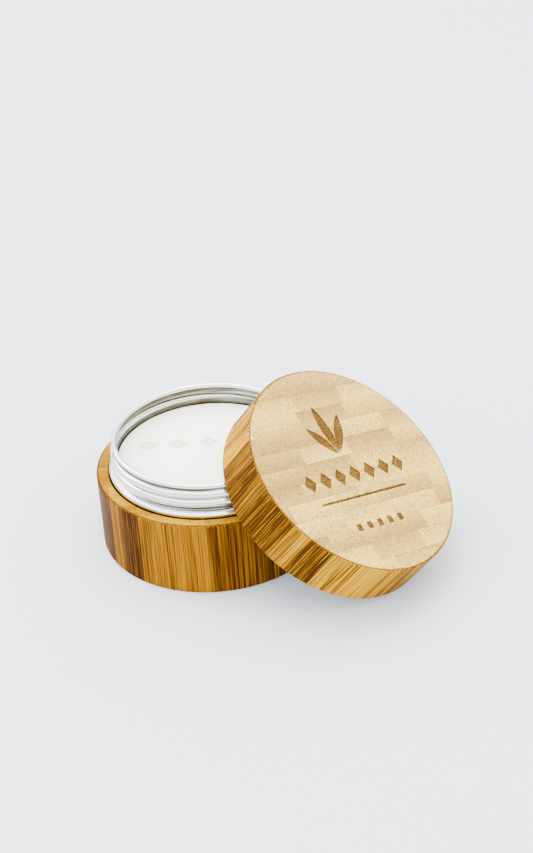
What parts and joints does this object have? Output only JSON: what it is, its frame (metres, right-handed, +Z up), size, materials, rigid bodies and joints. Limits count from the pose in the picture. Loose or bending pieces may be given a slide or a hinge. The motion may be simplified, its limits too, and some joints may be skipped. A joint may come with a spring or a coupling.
{
  "type": "shaving soap puck",
  "caption": "Open round jar of solid shaving soap: turned bamboo cup, screw-neck aluminium tin with a pressed white puck, and a hollow bamboo lid leaning on the tin's rim.",
  "frame": {"origin": "centre of the cup's flat underside, on the table", "axes": "+Z up the cup's axis, +X towards the leaning lid"},
  "size_m": [0.1227, 0.077, 0.0599],
  "materials": {
    "bamboo": "satin turned bamboo",
    "glue": "dried glue",
    "tin": "satin spun",
    "soap": "matt pressed soap",
    "foam": "matt foam"
  },
  "bodies": {
    "jar": {"bamboo_cup": "bamboo", "cup_glue": "glue", "tin_pot": "tin"},
    "puck": {"soap_puck": "soap"},
    "seal": {"lid_seal": "foam"},
    "lid": {"bamboo_lid": "bamboo", "lid_glue": "glue", "lid_liner": "tin"}
  },
  "joints": [
    {"name": "puck_lift", "type": "slide", "parent": "jar", "child": "puck", "axis": [0, 0, 1], "range_m": [0, 0.006]},
    {"name": "lid_swing", "type": "hinge", "parent": "jar", "child": "seal", "pos_m": [-0.04355, 0, -0.02052], "axis": [0, -1, 0], "range_deg": [0, 36.6]},
    {"name": "lid_turn", "type": "hinge", "parent": "seal", "child": "lid", "pos_m": [0.043, 0, 0.02297], "axis": [0.5962, 0, 0.8028], "continuous": true}
  ]
}
